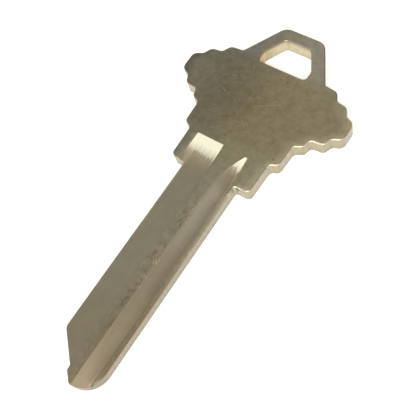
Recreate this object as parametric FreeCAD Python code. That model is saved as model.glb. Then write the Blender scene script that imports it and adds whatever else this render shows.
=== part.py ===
import FreeCAD, Part
import math
import os

# A key blank: one piece of brass strip, blanked to outline, its rims softened, then milled along the blade.
# It lies on its back. +X runs from the tip of the blade towards the bow, +Y towards the cut edge, the one
# that will carry the bitting, and +Z up out of the front face.
# The origin is on the centre line, at the shoulder stop and on the back face.

# The strip. Blanking rolls the rim of the front over, and the burr that it leaves on the back is dressed off
thickness = 2.5
rim_round = 0.22
back_rim_bevel = 0.12

# The blade, from the shoulder stop to its nose
blade_length = 34.37
blade_height = 8.71
half_height = blade_height / 2

# The tip: a slope down from the cut edge, a short ledge, a bevel, and a large round up from the spine
tip_angle = 45.0
slope_round = 0.12 * blade_height
ledge_rise = 0.05 * blade_height
ledge_length = 0.55
ledge_round = 0.25
nose_drop = 0.115 * blade_height
nose_lean = 0.115 * blade_height
nose_corner_round = 0.085 * blade_height
nose_round = 0.43 * blade_height

# The neck, in two widths, each a little wider towards the bow
shoulder_half_width = 6.72
shoulder_height = shoulder_half_width - half_height
root_round = 0.17 * shoulder_height
shoulder_round = 0.32 * shoulder_height
narrow_neck_length = 5.2
wide_neck_length = 3.65
neck_flare = 0.15
neck_step_length = 0.4
neck_step_rise = 1.28
neck_step_round = 0.9

# The stair from the neck up to each ear
low_riser_length = 0.62
low_riser_rise = 1.34
middle_riser_rise = 2.05
top_riser_length = 0.57
top_riser_rise = 1.54
tread_length = 1.35
low_tread_rise = 0.3
top_tread_rise = 0.5
ear_length = 3.15
ear_round = 1.15

# The stair from each ear down to the hanger
first_fall = 1.44
middle_fall = 1.75
last_fall = 2.13
back_tread_length = 1.4
back_tread_fall = 0.77
upright_lean = 0.2
stair_round = 0.8
stair_nose_round = 1.1

# The hanger, and the ring hole that follows it a wall's width inside
hanger_length = 6.47
hanger_half_width = 3.4
hanger_root_round = 0.5
hanger_round = 1.8
hanger_wall = 2.1
ring_hole_set_back = 0.58
ring_hole_width_share = 0.572
ring_hole_round = 0.6

# What is milled out of the front: each cut ends where the round cutter ran out of the metal
cutter_radius = 26.0
pocket_depth = 0.45
pocket_end = 4.88
pocket_edge = 5.12
pocket_edge_draft = 12.5
pocket_foot = 0.63
pocket_foot_draft = 27.0
groove_depth = 1.1
groove_end = 4.65
groove_floor_start = 3.25
groove_floor_width = 0.4
groove_bed_draft = 61.2
groove_wall_draft = 15.3

# The rail between the groove and the spine is bevelled to a crest, up to a little before the shoulder
bevel_drop = 0.62
bevel_end = -1.0
bevel_cutter_radius = 1.6

# The warding groove along the back
back_groove_depth = 0.75
back_groove_end = 4.2
back_groove_centre = -0.55
back_groove_floor = 1.7
back_groove_draft = 32.0

# How far a cutting tool reaches beyond the face, and the turn, in degrees, that takes it clear of the metal
above_face = 0.5
run_out_turn = 75.0

Vector = FreeCAD.Vector


def spread(height, draft):
    """How far a wall at this draft, in degrees from upright, leans over the given height."""
    return height * math.tan(math.radians(draft))


def walk(start, moves):
    """Corners (x, y, round) reached from start by moves (along, out, round)."""
    x, y = start
    corners = []
    for along, out, corner_round in moves:
        x += along
        y += out
        corners.append((x, y, corner_round))
    return corners


def neck_corners():
    return walk((0, 0), [
        (0, half_height, root_round),
        (0, shoulder_height, shoulder_round),
        (narrow_neck_length, neck_flare, stair_round),
        (neck_step_length, neck_step_rise, neck_step_round),
        (wide_neck_length, neck_flare, stair_round),
    ])


def stair_up_corners(start):
    return walk(start, [
        (low_riser_length, low_riser_rise, stair_round),
        (tread_length, low_tread_rise, stair_round),
        (upright_lean, middle_riser_rise, stair_round),
        (tread_length, top_tread_rise, stair_nose_round),
        (top_riser_length, top_riser_rise, ear_round),
    ])


def stair_down_corners(start):
    return walk(start, [
        (ear_length, 0, ear_round),
        (top_riser_length, -first_fall, stair_round),
        (back_tread_length, -back_tread_fall, stair_nose_round),
        (upright_lean, -middle_fall, stair_round),
        (back_tread_length, -back_tread_fall, stair_nose_round),
        (upright_lean, -last_fall, hanger_root_round),
    ])


def bow_corners():
    """The cut-side half of the bow, from the root of the blade to the head of the hanger."""
    neck = neck_corners()
    stair_up = stair_up_corners(neck[-1][:2])
    stair_down = stair_down_corners(stair_up[-1][:2])
    head = (stair_down[-1][0] + hanger_length, hanger_half_width, hanger_round)
    return neck + stair_up + stair_down + [head]


def tip_corners():
    """The tip, from the spine round the nose and up to the cut edge."""
    run = spread(1, 90 - tip_angle)
    bevel_top = (ledge_rise + nose_drop) * run - blade_length
    slope_foot = bevel_top + ledge_length
    slope_head = slope_foot + (half_height - ledge_rise) * run
    return [
        (nose_lean - blade_length, -half_height, nose_round),
        (-blade_length, -nose_drop, nose_corner_round),
        (bevel_top, ledge_rise, ledge_round),
        (slope_foot, ledge_rise, ledge_round),
        (slope_head, half_height, slope_round),
    ]


def ring_hole_corners():
    """The cut-side half of the ring hole."""
    root_x, root_y, _ = bow_corners()[-2]
    head_x, head_y, _ = bow_corners()[-1]
    slope = (root_y - head_y) / (head_x - root_x)
    half_width = ring_hole_width_share * root_y
    inner_root_y = root_y - hanger_wall * math.hypot(1, slope)
    inner_head_x = head_x - hanger_wall
    inner_head_y = inner_root_y - (inner_head_x - root_x) * slope
    bend_x = root_x + (inner_root_y - half_width) / slope
    return [
        (root_x - ring_hole_set_back, half_width, ring_hole_round),
        (bend_x, half_width, ring_hole_round),
        (inner_head_x, inner_head_y, ring_hole_round),
    ]


def mirrored(corners):
    """The same corners on the spine side, in the reverse order."""
    return [(x, -y, corner_round) for x, y, corner_round in reversed(corners)]


def rounded_wire(corners):
    """A closed wire of straight lines and tangent arcs round corners (x, y, round)."""
    points = [Vector(x, y, 0) for x, y, _ in corners]
    arcs = []
    for i, (_, _, corner_round) in enumerate(corners):
        back = (points[i - 1] - points[i]).normalize()
        on = (points[(i + 1) % len(points)] - points[i]).normalize()
        half_angle = back.getAngle(on) / 2
        reach = corner_round / math.tan(half_angle)
        depth = corner_round / math.sin(half_angle) - corner_round
        middle = points[i] + (back + on).normalize() * depth
        arcs.append(Part.Arc(points[i] + back * reach, middle, points[i] + on * reach))
    edges = []
    for i, arc in enumerate(arcs):
        following = arcs[(i + 1) % len(arcs)]
        edges.append(arc.toShape())
        edges.append(Part.makeLine(arc.EndPoint, following.StartPoint))
    return Part.Wire(edges)


def plate(corners):
    return Part.Face(rounded_wire(corners)).extrude(Vector(0, 0, thickness))


def rims(strip, height):
    """The edges of the outline and of the ring hole that lie on the face at this height."""
    level = [edge for edge in strip.Edges if edge.BoundBox.ZLength < back_rim_bevel]
    return [edge for edge in level if abs(edge.BoundBox.Center.z - height) < back_rim_bevel]


def blank():
    """The blanked strip with its ring hole and its rims softened."""
    bow = bow_corners()
    hole = ring_hole_corners()
    strip = plate(mirrored(bow) + tip_corners() + bow).cut(plate(mirrored(hole) + hole))
    strip = strip.makeFillet(rim_round, rims(strip, thickness))
    return strip.makeChamfer(back_rim_bevel, rims(strip, 0))


def milled(section, end, depth, radius):
    """The metal that a round cutter takes out of the front face along the blade.

    section is the cutter's profile as corners (y, height over the floor of the cut), and end is where
    the floor, depth under the face, comes up to the face again.
    """
    start = end - math.sqrt(radius ** 2 - (radius - depth) ** 2)
    floor = thickness - depth
    corners = [Vector(start, y, floor + height) for y, height in section]
    profile = Part.Face(Part.makePolygon(corners + corners[:1]))
    channel = profile.extrude(Vector(-2 * blade_length, 0, 0))
    run_out = profile.revolve(Vector(start, 0, floor + radius), Vector(0, -1, 0), run_out_turn)
    return channel.fuse(run_out)


def pocket():
    """The wide shallow flat from the cut edge to the middle of the blade."""
    top = pocket_depth + above_face
    section = [
        (pocket_foot, 0),
        (pocket_edge, 0),
        (pocket_edge + spread(top, pocket_edge_draft), top),
        (pocket_foot - spread(top, pocket_foot_draft), top),
    ]
    return milled(section, pocket_end, pocket_depth, cutter_radius)


def groove():
    """The deep groove near the spine: a long slanting bed, a narrow floor and a steep wall."""
    top = groove_depth + above_face
    bed_foot = -groove_floor_start
    wall_foot = bed_foot - groove_floor_width
    section = [
        (wall_foot, 0),
        (bed_foot, 0),
        (bed_foot + spread(top, groove_bed_draft), top),
        (wall_foot - spread(top, groove_wall_draft), top),
    ]
    return milled(section, groove_end, groove_depth, cutter_radius)


def rail_bevel():
    """The bevel from the spine up to the crest of the rail beside the groove."""
    crest = groove_floor_start + groove_floor_width + spread(groove_depth, groove_wall_draft)
    lean = (half_height - crest) / bevel_drop
    top = bevel_drop + above_face
    beside = half_height + above_face * lean
    section = [(-beside, -above_face), (top * lean - half_height, top), (-beside, top)]
    return milled(section, bevel_end, bevel_drop, bevel_cutter_radius)


def back_groove():
    """The warding groove, cut in the front face and turned over to the back."""
    top = back_groove_depth + above_face
    half_floor = back_groove_floor / 2
    half_mouth = half_floor + spread(top, back_groove_draft)
    section = [(-half_floor, 0), (half_floor, 0), (half_mouth, top), (-half_mouth, top)]
    cut = milled(section, back_groove_end, back_groove_depth, cutter_radius)
    cut.rotate(Vector(0, 0, thickness / 2), Vector(1, 0, 0), 180)
    cut.translate(Vector(0, back_groove_centre, 0))
    return cut


def key_blank():
    key = blank()
    for cut in (pocket(), groove(), rail_bevel(), back_groove()):
        key = key.cut(cut)
    return key.removeSplitter()


os.makedirs("parts", exist_ok=True)
key_blank().exportStep("parts/key_blank.step")
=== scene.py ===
import math
import bpy
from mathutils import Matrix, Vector

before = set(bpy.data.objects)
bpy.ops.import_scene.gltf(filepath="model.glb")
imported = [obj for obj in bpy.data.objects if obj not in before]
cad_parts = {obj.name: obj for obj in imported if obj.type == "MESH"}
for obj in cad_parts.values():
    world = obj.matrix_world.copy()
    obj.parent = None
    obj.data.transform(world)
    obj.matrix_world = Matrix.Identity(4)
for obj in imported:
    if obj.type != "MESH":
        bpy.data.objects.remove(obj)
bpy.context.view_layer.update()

# Lengths are in millimetres of the key, as in its source, and places are measured from the shoulder
MM = 0.001
THICKNESS = 2.5
CUTS_END = 4.9
CUTS_EDGE = 5.2
SPINE = -4.355
BED_HEAD = -1.2
BED_FOOT = -3.2
BOW_MIDDLE = (12.5, 2.5)
HANGER = 18
HOLE_MIDDLE = (22, 0)
HOLE_REACH = 4.45
HOLE_CORNER = (19.9, 3.9)

# How wide the face rolls over beside the outline
ROLLED = 2.4

# Facets closer than this are joined. An edge is sharp from so many degrees up, on the face and below it
WELD = 0.001
FACE_CORNER = 9.3
WALL_CORNER = 25

# Scratches, with headings in degrees from the blade: where they are densest, how they swerve and their kinds
SCRATCHED = (13.3, -0.5)
SWERVE = 1.5
SWERVES_PER_MM = 0.35
ACROSS_BOW = {"heading": -56, "swing": 18, "length": 5.5, "spacing": 0.7, "width": 0.14}
ASTRAY = {"heading": 15, "swing": 90, "length": 1.6, "spacing": 0.8, "width": 0.13}
NICK = {"heading": 50, "swing": 50, "length": 0.8, "spacing": 0.4, "width": 0.14}

# Brass, as reflectances. The strip kept its rolled skin on both faces, and handling has toned it
SKIN_CUT_SIDE = (0.236, 0.208, 0.138)
SKIN_SPINE_SIDE = (0.342, 0.281, 0.162)
RIDGE = (0.36, 0.313, 0.209)
RIDGE_TIP = (0.313, 0.266, 0.171)
RIDGE_NOSE = (0.352, 0.283, 0.18)
STAIN = (0.13, 0.105, 0.065)
SCRATCH = (0.54, 0.445, 0.26)

# Shifts of the skin's tone at each place
MIDDLE_TONE = (0.93, 0.90, 0.86)
EDGE_TONE = (1.03, 1.06, 1.12)
NECK_TONE = (1.05, 1.10, 1.12)
HANGER_TONE = (1.13, 1.20, 1.48)
LIP_TONE = (1.5, 1.42, 1.42)
EAR_TONE = (1.12, 1.11, 1.14)
HOLE_TONE = (1.06, 0.98, 0.87)

# Bare brass where it was milled
MILLED = (0.347, 0.310, 0.214)
MILLED_TIP = (0.338, 0.289, 0.194)
MILLED_HEAD = (0.43, 0.36, 0.232)
BED_TIP = (0.46, 0.365, 0.25)
BED = (0.37, 0.308, 0.208)
BED_BRIGHT = (0.485, 0.42, 0.305)
BED_END = (0.378, 0.32, 0.213)
RAIL_NOSE = (0.29, 0.232, 0.152)
RAIL_TIP = (0.212, 0.17, 0.108)
RAIL_MIDDLE = (0.268, 0.229, 0.157)
RAIL_HEAD = (0.315, 0.28, 0.19)
# Newly cut brass, near white partly as a painted highlight where the cutters' run-outs tilt towards the
# light, and on rims facing along the key
FRESH_CUT_AND_HIGHLIGHT = (0.99, 0.96, 0.81)
LIP_WALL_TONE = (1.06, 1.12, 1.5)

# Bare brass where it was sheared
SHEARED = (0.41, 0.364, 0.266)
# Painted light: a lighter copy of the sheared brass for walls facing along the key
SHEARED_RISER_LIT = (0.45, 0.395, 0.269)
SHEARED_NOSE = (0.306, 0.26, 0.194)
SHEARED_TIP = (0.362, 0.314, 0.23)
# Lighter, in part a painted reflection of the bright floor inside the hole
SHEARED_HOLE = (0.57, 0.495, 0.346)
# Painted highlight on the rim, also the colour of the nicks and burrs
RIM_HIGHLIGHT_AND_NICKS = (0.64, 0.57, 0.40)
TOP_TONE = (0.88, 0.85, 0.79)
CORNER_TONE = (1.0, 0.86, 0.68)

# Patches of a warmer and of a greener tone, everywhere
WARM_TONE = (1.025, 1.0, 0.98)
GREEN_TONE = (0.98, 1.0, 0.995)

DULL_ROUGHNESS = 0.36
FRESH_ROUGHNESS = 0.8

# The camera of the photograph, turned by these degrees about X, Y and Z
CAMERA_AT = (-29.99, -40.89, 90.55)
CAMERA_TURN = (25.088, 10.809, -55.895)
LENS = 61.32
SENSOR = 36
NEAREST = 5

# The light, in metres: a soft panel to the camera's left, a pale room and a white table that glows
PANEL_AT = (-0.80, -0.42, 0.90)
PANEL_SIZE = 0.95
PANEL_RADIANCE = 4.9
PANEL_COLOUR = (1.0, 0.98, 0.95)
ROOM_RADIANCE = 0.62
TABLE_SIZE = 4
TABLE_COLOUR = (0.9, 0.9, 0.89)
TABLE_GLOW = 0.5


class Paint:
    """The node tree of one material, built a value at a time."""

    def __init__(self, name):
        self.material = bpy.data.materials.new(name)
        self.material.use_nodes = True
        self.tree = self.material.node_tree
        self.shader = self.tree.nodes["Principled BSDF"]

    def node(self, kind, inputs=(), **settings):
        made = self.tree.nodes.new(kind)
        for name, setting in settings.items():
            setattr(made, name, setting)
        for name, given in dict(inputs).items():
            self.feed(made.inputs[name], given)
        return made

    def feed(self, socket, given):
        if isinstance(given, bpy.types.NodeSocket):
            self.tree.links.new(given, socket)
        elif isinstance(given, tuple) and len(given) < len(socket.default_value):
            socket.default_value = (*given, 1)
        else:
            socket.default_value = given

    def math(self, operation, *given):
        return self.node("ShaderNodeMath", enumerate(given), operation=operation).outputs[0]

    def vector(self, operation, *given):
        return self.node("ShaderNodeVectorMath", enumerate(given), operation=operation).outputs[0]

    def all_of(self, first, *others):
        for other in others:
            first = self.math("MULTIPLY", first, other)
        return first

    def inverse(self, share):
        return self.math("SUBTRACT", 1, share)

    def step(self, value, start, end):
        """0 where the value is at start, 1 where it is at end, and smooth between them."""
        inputs = {"Value": value, "From Min": start, "From Max": end}
        return self.node("ShaderNodeMapRange", inputs, interpolation_type="SMOOTHSTEP").outputs[0]

    def spread(self, value, low, high):
        """A share from 0 to 1, laid out from low to high."""
        return self.node("ShaderNodeMapRange", {"Value": value, "To Min": low, "To Max": high}).outputs[0]

    def mix(self, share, under, over, blend="MIX"):
        made = self.node("ShaderNodeMix", {0: share, 6: under, 7: over}, data_type="RGBA", blend_type=blend)
        return made.outputs[2]

    def toned(self, colour, tone, share):
        return self.mix(share, colour, tone, "MULTIPLY")

    def scaled(self, colour, *factors):
        inputs = {0: colour, "Scale": self.all_of(*factors)}
        return self.node("ShaderNodeVectorMath", inputs, operation="SCALE").outputs[0]

    def stretched(self, place, scale):
        return self.vector("MULTIPLY", place, scale)

    def length(self, vector):
        return self.node("ShaderNodeVectorMath", {0: vector}, operation="LENGTH").outputs["Value"]

    def noise(self, place, scale, detail=3.0, roughness=0.5):
        inputs = {"Vector": place, "Scale": scale, "Detail": detail, "Roughness": roughness}
        return self.node("ShaderNodeTexNoise", inputs).outputs[0]

    def specks(self, place, spacing, size, share):
        """Round specks, one to a cell at most, in a share of the cells."""
        inputs = {"Vector": place, "Scale": 1 / spacing}
        cells = self.node("ShaderNodeTexVoronoi", inputs, voronoi_dimensions="2D")
        chance = self.node("ShaderNodeSeparateColor", {0: cells.outputs["Color"]}).outputs[0]
        near = self.step(cells.outputs["Distance"], size / spacing, 0.5 * size / spacing)
        return self.all_of(near, self.step(chance, share, share - 0.01))


class Key(Paint):
    """The brass of the key: where each kind of surface is, and what it looks like."""

    def __init__(self):
        super().__init__("brass")
        coordinates = self.node("ShaderNodeTexCoord").outputs
        self.place = self.stretched(coordinates["Object"], (1 / MM,) * 3)
        self.x, self.y, self.z = self.node("ShaderNodeSeparateXYZ", {0: self.place}).outputs
        slope = self.node("ShaderNodeSeparateXYZ", {0: coordinates["Normal"]}).outputs
        self.facing, self.across, self.level = [self.math("ABSOLUTE", part) for part in slope]
        self.find_surfaces()

    def where(self, **spans):
        """1 where each of these is past its span, given as x=(start, end), and 0 where one is before it."""
        return self.all_of(*[self.step(getattr(self, name), *span) for name, span in spans.items()])

    def along(self, first, *stops):
        """A colour that changes along the key, by way of colours given with their places (x, colour)."""
        x, colour = first
        for next_x, next_colour in stops:
            colour = self.mix(self.where(x=(x, next_x)), colour, next_colour)
            x = next_x
        return colour

    def distance(self, x, y):
        """How far it is, in millimetres, from an upright line through this place."""
        away = self.vector("SUBTRACT", self.place, (x, y, 0))
        return self.length(self.stretched(away, (1, 1, 0)))

    def find_surfaces(self):
        front = self.where(z=(THICKNESS - 0.03, THICKNESS - 0.005))
        back = self.where(z=(0.03, 0.005))
        self.skin = self.all_of(self.where(level=(0.985, 0.998)), self.math("MAXIMUM", front, back))
        in_cuts = self.all_of(
            self.where(x=(CUTS_END, CUTS_END - 0.02)),
            self.where(y=(CUTS_EDGE + 0.05, CUTS_EDGE)),
            self.where(y=(SPINE - 0.06, SPINE - 0.02)),
            self.where(level=(0.15, 0.2)),
        )
        self.milled = self.all_of(in_cuts, self.inverse(self.skin))
        self.rim = self.where(z=(THICKNESS - 0.24, THICKNESS - 0.18))
        self.upper = self.where(z=(1.0, 1.2))
        self.groove = self.all_of(self.where(y=(BED_HEAD + 0.02, BED_HEAD)), self.upper)
        self.rail = self.all_of(self.where(y=(BED_FOOT, BED_FOOT - 0.25)), self.upper)
        self.lip = self.where(y=(4.9, 5.0), level=(0.5, 0.4))
        self.hanger = self.where(x=(HANGER, HANGER + 2))
        self.fresh_and_highlit = self.all_of(self.milled, self.fresh_and_highlight_share())

    def fresh_and_highlight_share(self):
        """How much of the cutters' newly cut brass shows, painted bright partly as its own colour and partly
        as a painted highlight.

        It comes up in three steps towards the ends of the cuts, later in most of the groove than in the
        pocket. The pocket's lip shows less of it, but all along.
        """
        marks = self.noise(self.stretched(self.place, (0.35, 4.2, 4.2)), 1, detail=1)
        core = self.all_of(self.where(y=(-3.1, -3.35)), self.where(y=(-4.0, -3.75)))
        late = self.all_of(self.groove, self.spread(core, 0.5, 0.0))
        x = self.math("SUBTRACT", self.math("ADD", self.x, self.spread(marks, -0.8, 0.8)), late)
        share = self.all_of(self.step(x, 0.8, 2.1), 0.16)
        for start, end, rise in ((1.9, 2.6, 0.58), (2.4, 3.6, 0.26)):
            share = self.math("ADD", share, self.all_of(self.step(x, start, end), rise))
        share = self.all_of(share, self.spread(self.lip, 1.0, 0.7))
        least = self.all_of(self.lip, self.spread(self.where(x=(0.8, 3.6)), 0.2, 0.65))
        return self.math("MAXIMUM", share, least)

    def skin_colour(self):
        """Olive on the cut side and browner on the spine side, deepest in the middle, pale at the hanger,
        with a painted highlight beside the outline on the spine side and painted shade at the ear.
        """
        far = self.distance(*BOW_MIDDLE)
        beside_lip = self.all_of(
            self.upper,
            self.where(x=(CUTS_END, CUTS_END - 0.3)),
            self.where(y=(5.0, 5.2)),
            self.where(y=(6.4, 5.8)),
            self.spread(self.where(y=(5.65, 5.35)), 0.35, 1.0),
        )
        beside_hole = self.all_of(
            self.step(self.distance(*HOLE_MIDDLE), 5.3, 4),
            self.where(y=(-1.5, 1), x=(20, 21.5)),
        )
        colour = self.mix(self.where(y=(7.5, -3)), SKIN_CUT_SIDE, SKIN_SPINE_SIDE)
        for tone, share in (
            (MIDDLE_TONE, self.step(far, 5, 1.5)),
            (EDGE_TONE, self.step(far, 5, 12)),
            (NECK_TONE, self.where(x=(8, 4))),
            (HANGER_TONE, self.where(x=(18.5, 21.5))),
            (LIP_TONE, beside_lip),
            (EAR_TONE, self.where(y=(8, 10.5), x=(17.5, 15.5))),
            (HOLE_TONE, beside_hole),
        ):
            colour = self.toned(colour, tone, share)
        colour = self.mix(self.where(x=(4, -1), y=(3, 1)), colour, self.ridge_colour())
        mottle = self.spread(self.noise(self.place, 0.8, detail=5, roughness=0.75), 0.5, 1.5)
        roll = self.rolled()
        # Painted highlight on the face rolled over beside the outline on the spine side, and painted shade on
        # it at the ear
        spine_edge_highlight = self.spread(self.all_of(roll, self.where(y=(0, -3), x=(19, 17))), 1.0, 1.8)
        shaded = self.spread(self.all_of(roll, self.where(y=(11, 13))), 1.0, 0.4)
        colour = self.clouded(self.scaled(colour, mottle, spine_edge_highlight, shaded))
        return self.worn(self.mix(self.all_of(self.stains(), 0.55), colour, STAIN))

    def ridge_colour(self):
        """The skin between the pocket and the groove, as dull as the milled floor beside the pocket."""
        beside_pocket = self.along((-27, MILLED_TIP), (-18, MILLED))
        ridge = self.along((-32, RIDGE_NOSE), (-25, RIDGE_TIP), (-21, RIDGE_TIP), (-13, RIDGE))
        return self.mix(self.where(y=(0.3, -0.6)), beside_pocket, ridge)

    def rolled(self):
        """How far the face rolls over beside the outline, as the punch left it."""
        rounded = self.node("ShaderNodeBevel", {"Radius": ROLLED * MM}, samples=8).outputs[0]
        tilt = self.length(self.stretched(rounded, (1, 1, 0)))
        past_cuts = self.where(x=(CUTS_END, CUTS_END + 0.4))
        return self.all_of(tilt, self.math("MAXIMUM", past_cuts, self.where(y=(-4.5, -4.9))))

    def clouded(self, colour):
        """The same colour in slightly warmer and greener patches."""
        hue = self.noise(self.place, 0.4, detail=2)
        colour = self.toned(colour, WARM_TONE, self.step(hue, 0.5, 0.62))
        return self.toned(colour, GREEN_TONE, self.step(hue, 0.5, 0.38))

    def stains(self):
        """Dark pits, most of them in clusters along the ridge of the blade."""
        ridge = self.where(x=(0, -3), y=(0.4, -0.4))
        clusters = self.step(self.noise(self.stretched(self.place, (0.25, 0.5, 1)), 1, detail=1), 0.46, 0.6)
        worm = self.noise(self.stretched(self.place, (0.8, 1.4, 1)), 1.6, detail=3, roughness=0.7)
        pits = self.all_of(self.step(worm, 0.5, 0.64), ridge, clusters)
        return self.math("MAXIMUM", pits, self.specks(self.place, 3.0, 0.2, 0.15))

    def scratches(self, heading, swing, length, spacing, width):
        """Gently curved scratches, one to a cell of length by spacing, within swing degrees of the heading.

        Returns the share of the bright line, and that of the darker border beside it.
        """
        swerve = {"Vector": self.place, "Scale": SWERVES_PER_MM, "Detail": 0.0}
        swerve = self.node("ShaderNodeTexNoise", swerve).outputs["Color"]
        swerved = self.vector("ADD", self.place, self.stretched(swerve, (SWERVE, SWERVE, 0)))
        turn = {"Vector": swerved, "Angle": -math.radians(heading)}
        lined_up = self.node("ShaderNodeVectorRotate", turn, rotation_type="Z_AXIS").outputs[0]
        lined_up = self.stretched(lined_up, (1 / length, 1 / spacing, 0))
        cells = self.node("ShaderNodeTexVoronoi", {"Vector": lined_up, "Scale": 1}, voronoi_dimensions="2D")
        away = self.vector("SUBTRACT", lined_up, cells.outputs["Position"])
        away = self.stretched(away, (length, spacing, 0))
        chance = self.node("ShaderNodeSeparateColor", {0: cells.outputs["Color"]}).outputs
        turn = {"Vector": away, "Angle": self.spread(chance[0], -math.radians(swing), math.radians(swing))}
        away = self.node("ShaderNodeVectorRotate", turn, rotation_type="Z_AXIS").outputs[0]
        lengthwise, sideways, _ = self.node("ShaderNodeSeparateXYZ", {0: away}).outputs
        reach = self.spread(chance[1], 0.15 * length, 0.5 * length)
        ends = self.step(self.math("DIVIDE", self.math("ABSOLUTE", lengthwise), reach), 1.0, 0.5)
        strength = self.all_of(ends, self.step(chance[2], 0.1, 0.9))
        side = self.math("ABSOLUTE", sideways)
        line = self.step(side, width / 2, 0.1 * width)
        return self.all_of(line, strength), self.all_of(self.step(side, 1.4 * width, 0.5 * width), strength)

    def worn(self, colour):
        """Scratched and nicked by handling: most of the scratches run across the bow, and in patches."""
        patches = self.step(self.noise(self.place, 0.5, detail=2), 0.3, 0.5)
        bow = self.spread(self.step(self.distance(*SCRATCHED), 10.5, 5), 0.15, 1.0)
        across, across_side = self.scratches(**ACROSS_BOW)
        astray, astray_side = self.scratches(**ASTRAY)
        # A few painted glints among the scratches
        glints = self.specks(self.stretched(self.place, (1, -1, 1)), 2.2, 0.14, 0.2)
        sides = self.all_of(self.math("MAXIMUM", across_side, astray_side), patches, bow)
        lines = self.all_of(self.math("MAXIMUM", across, self.all_of(astray, 0.9)), patches, bow)
        colour = self.scaled(colour, self.spread(sides, 1.0, 0.82))
        return self.mix(self.math("MAXIMUM", lines, self.all_of(glints, bow, 0.8)), colour, SCRATCH)

    def nicked(self, colour):
        """Short bright nicks across the edge of the ridge, and burrs along the spine bright with painted
        glints, in a few places.
        """
        edge = self.all_of(self.upper, self.where(y=(-1.8, -1.4)), self.where(y=(-0.5, -1.0)))
        # Burrs along the spine, painted with glints
        spine = self.where(y=(-4.1, -4.25), z=(1.5, 1.8))
        patches = self.step(self.noise(self.place, 0.4, detail=1), 0.47, 0.6)
        middle = self.all_of(self.where(x=(-1, -3)), self.where(x=(-21, -18)))
        line, _ = self.scratches(**NICK)
        share = self.all_of(line, self.math("MAXIMUM", edge, spine), patches, middle)
        return self.mix(share, colour, RIM_HIGHLIGHT_AND_NICKS)

    def milled_colour(self):
        """Dull along the blade, brown on the rail, and newly cut with a painted highlight where the cutters
        ran out.
        """
        colour = self.along((-27, MILLED_TIP), (-18, MILLED), (-1, MILLED), (1.5, MILLED_HEAD))
        burr = self.where(y=(4.05, 4.3), x=(-13, -9))
        colour = self.scaled(colour, self.spread(burr, 1.0, 1.35))
        colour = self.toned(colour, LIP_WALL_TONE, self.lip)
        colour = self.mix(self.groove, colour, self.bed_colour())
        colour = self.mix(self.rail, colour, self.rail_colour())
        feed = self.noise(self.stretched(self.place, (0.25, 6, 6)), 1, detail=3, roughness=0.6)
        cloud = self.noise(self.place, 0.6, detail=3, roughness=0.6)
        colour = self.scaled(colour, self.spread(feed, 0.92, 1.08), self.spread(cloud, 0.88, 1.12))
        return self.mix(self.fresh_and_highlit, self.clouded(colour), FRESH_CUT_AND_HIGHLIGHT)

    def bed_colour(self):
        """The groove's slanting bed, darker at its head and lower down, with painted light in the corner at
        its foot, where shade falls.
        """
        bright = ((-5, BED_BRIGHT), (-2, BED_BRIGHT), (0.5, BED_END))
        colour = self.along((-33, BED_TIP), (-26, BED), (-17, BED), *bright)
        head = self.where(y=(-1.8, -1.25), x=(-14, -6))
        nose = self.all_of(self.where(x=(-33, -32.2)), self.where(x=(-26, -30)))
        lower = self.math("MAXIMUM", self.where(x=(-24, -14)), nose)
        lower = self.all_of(self.where(y=(-1.9, -2.9)), lower)
        # Painted light in the corner at the bed's foot, where shade falls
        foot = self.spread(self.where(x=(-8, -16)), 0.4, 1.0)
        foot = self.all_of(self.where(y=(BED_FOOT + 0.3, BED_FOOT)), foot)
        return self.scaled(
            colour,
            self.spread(head, 1.0, 0.82),
            self.spread(lower, 1.0, 0.87),
            self.spread(foot, 1.0, 1.25),
        )

    def rail_colour(self):
        """The groove's floor and wall, with painted light against the shade down there, and the bevel of the
        rail, which is lighter down towards the spine.
        """
        middle = ((-24, RAIL_TIP), (-6, RAIL_MIDDLE))
        colour = self.along((-33, RAIL_NOSE), (-29, RAIL_TIP), *middle, (-1, RAIL_HEAD))
        # Painted light on the groove's floor and wall, where shade falls beside the rail
        floor = self.spread(self.where(y=(-3.7, -3.6)), 1.0, 1.35)
        spine = self.spread(self.where(y=(-4.05, -4.35), x=(-22, -10)), 1.0, 1.38)
        mottle = self.noise(self.stretched(self.place, (1.5, 3, 3)), 1, detail=3, roughness=0.75)
        return self.scaled(colour, floor, spine, self.spread(mottle, 0.55, 1.45))

    def sheared_colour(self):
        """Drawn up and down by the punch along the outline, patchy in the ring hole, with painted light on
        walls facing along the key and in the ring hole, painted shade just below the rim, and darker low
        down, duller where it tore and with painted shade by the table.
        """
        # Walls facing along the key get painted light
        lit_by_facing = self.mix(self.where(facing=(0.5, 0.9)), SHEARED, SHEARED_RISER_LIT)
        colour = self.along((-33, SHEARED_NOSE), (-30, SHEARED_TIP), (-10, SHEARED_TIP), (3, lit_by_facing))
        # Ring hole walls: partly painted reflection of the floor inside the hole
        colour = self.mix(self.hanger, colour, SHEARED_HOLE)
        corner = self.all_of(self.step(self.distance(*HOLE_CORNER), 2.2, 0.6), self.where(x=(19, 19.4)))
        colour = self.toned(colour, CORNER_TONE, corner)
        drag = self.noise(self.stretched(self.place, (3, 3, 0.6)), 1, detail=3, roughness=0.6)
        patches = self.noise(self.place, 1.2, detail=3, roughness=0.6)
        uneven = self.spread(self.mix(self.hanger, drag, patches), 0.69, 1.31)
        # Darker low down, partly the duller torn zone and partly painted shade by the table; painted shade
        # just below the rim
        torn_and_shaded = self.spread(self.where(z=(1.4, 0.2)), 1.0, 0.88)
        shade_below_rim = self.spread(self.where(z=(1.8, 2.2)), 1.0, 0.92)
        colour = self.clouded(self.scaled(colour, uneven, torn_and_shaded, shade_below_rim))
        colour = self.toned(colour, TOP_TONE, self.where(z=(1.2, 1.75), x=(-10, -18)))
        return self.rimmed(colour)

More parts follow.
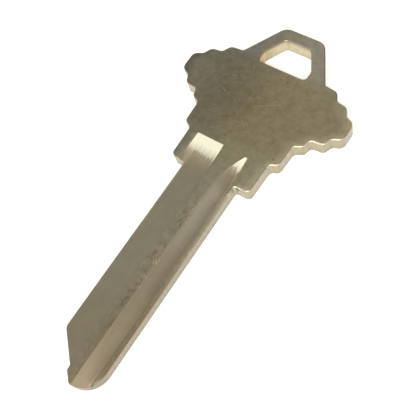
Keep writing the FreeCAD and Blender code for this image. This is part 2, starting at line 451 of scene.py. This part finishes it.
    def rimmed(self, colour):
        """The rim gets a painted highlight where it faces along the key on the spine side, and painted shade
        at the ear and the hanger.
        """
        patches = self.step(self.noise(self.place, 0.9, detail=3, roughness=0.7), 0.4, 0.58)
        # Painted highlight on the rim, strongest where it faces along the key
        end_on = self.spread(self.where(facing=(0.05, 0.17)), 0.1, 1.0)
        bright = self.all_of(self.rim, self.spread(patches, 0.6, 1.0), end_on, self.where(y=(3, 1)))
        colour = self.mix(bright, colour, self.mix(self.where(across=(0.22, 0.08)), RIM_HIGHLIGHT_AND_NICKS, FRESH_CUT_AND_HIGHLIGHT))
        outside = self.step(self.distance(*HOLE_MIDDLE), HOLE_REACH, HOLE_REACH + 0.1)
        # Painted shade on the rim at the ear and the hanger
        dull = self.math("MAXIMUM", self.where(y=(10, 10.6)), self.where(x=(HANGER, HANGER + 1)))
        return self.mix(self.all_of(self.rim, self.spread(outside, 0.5, 1.0), dull), colour, SKIN_CUT_SIDE)

    def build(self):
        colour = self.mix(self.milled, self.sheared_colour(), self.milled_colour())
        colour = self.mix(self.skin, colour, self.skin_colour())
        roughness = self.spread(self.fresh_and_highlit, DULL_ROUGHNESS, FRESH_ROUGHNESS)
        self.feed(self.shader.inputs["Base Color"], self.nicked(colour))
        self.feed(self.shader.inputs["Metallic"], 1.0)
        self.feed(self.shader.inputs["Roughness"], roughness)
        return self.material


def smooth_rims():
    """Nodes that join the key's facets and keep only the milled and sheared corners sharp."""
    tree = bpy.data.node_groups.new("rims", "GeometryNodeTree")
    tree.interface.new_socket("Geometry", in_out="INPUT", socket_type="NodeSocketGeometry")
    tree.interface.new_socket("Geometry", in_out="OUTPUT", socket_type="NodeSocketGeometry")
    nodes = {name: tree.nodes.new(kind) for name, kind in {
        "start": "NodeGroupInput",
        "weld": "GeometryNodeMergeByDistance",
        "corner": "GeometryNodeInputMeshEdgeAngle",
        "place": "GeometryNodeInputPosition",
        "height": "ShaderNodeSeparateXYZ",
        "limit": "ShaderNodeMapRange",
        "sharp": "FunctionNodeCompare",
        "store": "GeometryNodeStoreNamedAttribute",
        "end": "NodeGroupOutput",
    }.items()}
    nodes["weld"].inputs["Distance"].default_value = WELD * MM
    nodes["limit"].inputs["From Min"].default_value = (THICKNESS - 0.01) * MM
    nodes["limit"].inputs["From Max"].default_value = (THICKNESS - 0.001) * MM
    nodes["limit"].inputs["To Min"].default_value = math.radians(WALL_CORNER)
    nodes["limit"].inputs["To Max"].default_value = math.radians(FACE_CORNER)
    nodes["store"].data_type = "BOOLEAN"
    nodes["store"].domain = "EDGE"
    nodes["store"].inputs["Name"].default_value = "sharp_edge"
    for start, output, end, given in (
        ("start", 0, "weld", "Geometry"),
        ("weld", 0, "store", "Geometry"),
        ("place", 0, "height", 0),
        ("height", 2, "limit", "Value"),
        ("corner", 0, "sharp", 0),
        ("limit", 0, "sharp", 1),
        ("sharp", 0, "store", "Value"),
        ("store", 0, "end", 0),
    ):
        tree.links.new(nodes[start].outputs[output], nodes[end].inputs[given])
    return tree


def dress(key):
    key.data.materials.clear()
    key.data.materials.append(Key().build())
    key.modifiers.new("rims", "NODES").node_group = smooth_rims()
    key.modifiers.new("shading", "WEIGHTED_NORMAL").keep_sharp = True


def add_table():
    bpy.ops.mesh.primitive_plane_add(size=TABLE_SIZE)
    table = bpy.context.object
    table.name = "table"
    paint = Paint("table")
    paint.feed(paint.shader.inputs["Base Color"], TABLE_COLOUR)
    paint.feed(paint.shader.inputs["Roughness"], 0.9)
    paint.feed(paint.shader.inputs["Specular IOR Level"], 0.0)
    paint.feed(paint.shader.inputs["Emission Color"], TABLE_COLOUR)
    paint.feed(paint.shader.inputs["Emission Strength"], TABLE_GLOW)
    table.data.materials.append(paint.material)


def add_panel():
    light = bpy.data.lights.new("panel", "AREA")
    light.shape = "DISK"
    light.size = PANEL_SIZE
    light.color = PANEL_COLOUR
    light.energy = PANEL_RADIANCE * math.pi * math.pi * (PANEL_SIZE / 2) ** 2
    panel = bpy.data.objects.new("panel", light)
    panel.location = PANEL_AT
    panel.rotation_euler = Vector(PANEL_AT).to_track_quat("Z", "Y").to_euler()
    bpy.context.scene.collection.objects.link(panel)


def add_room():
    world = bpy.data.worlds.new("room")
    world.use_nodes = True
    background = world.node_tree.nodes["Background"]
    background.inputs["Color"].default_value = (1, 1, 1, 1)
    background.inputs["Strength"].default_value = ROOM_RADIANCE
    bpy.context.scene.world = world


def add_camera():
    data = bpy.data.cameras.new("camera")
    data.lens = LENS
    data.sensor_width = SENSOR
    data.clip_start = NEAREST * MM
    camera = bpy.data.objects.new("camera", data)
    camera.location = [place * MM for place in CAMERA_AT]
    camera.rotation_euler = [math.radians(turn) for turn in CAMERA_TURN]
    bpy.context.scene.collection.objects.link(camera)
    bpy.context.scene.camera = camera


dress(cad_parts["key_blank"])
add_table()
add_panel()
add_room()
add_camera()
bpy.context.scene.view_settings.view_transform = "Standard"
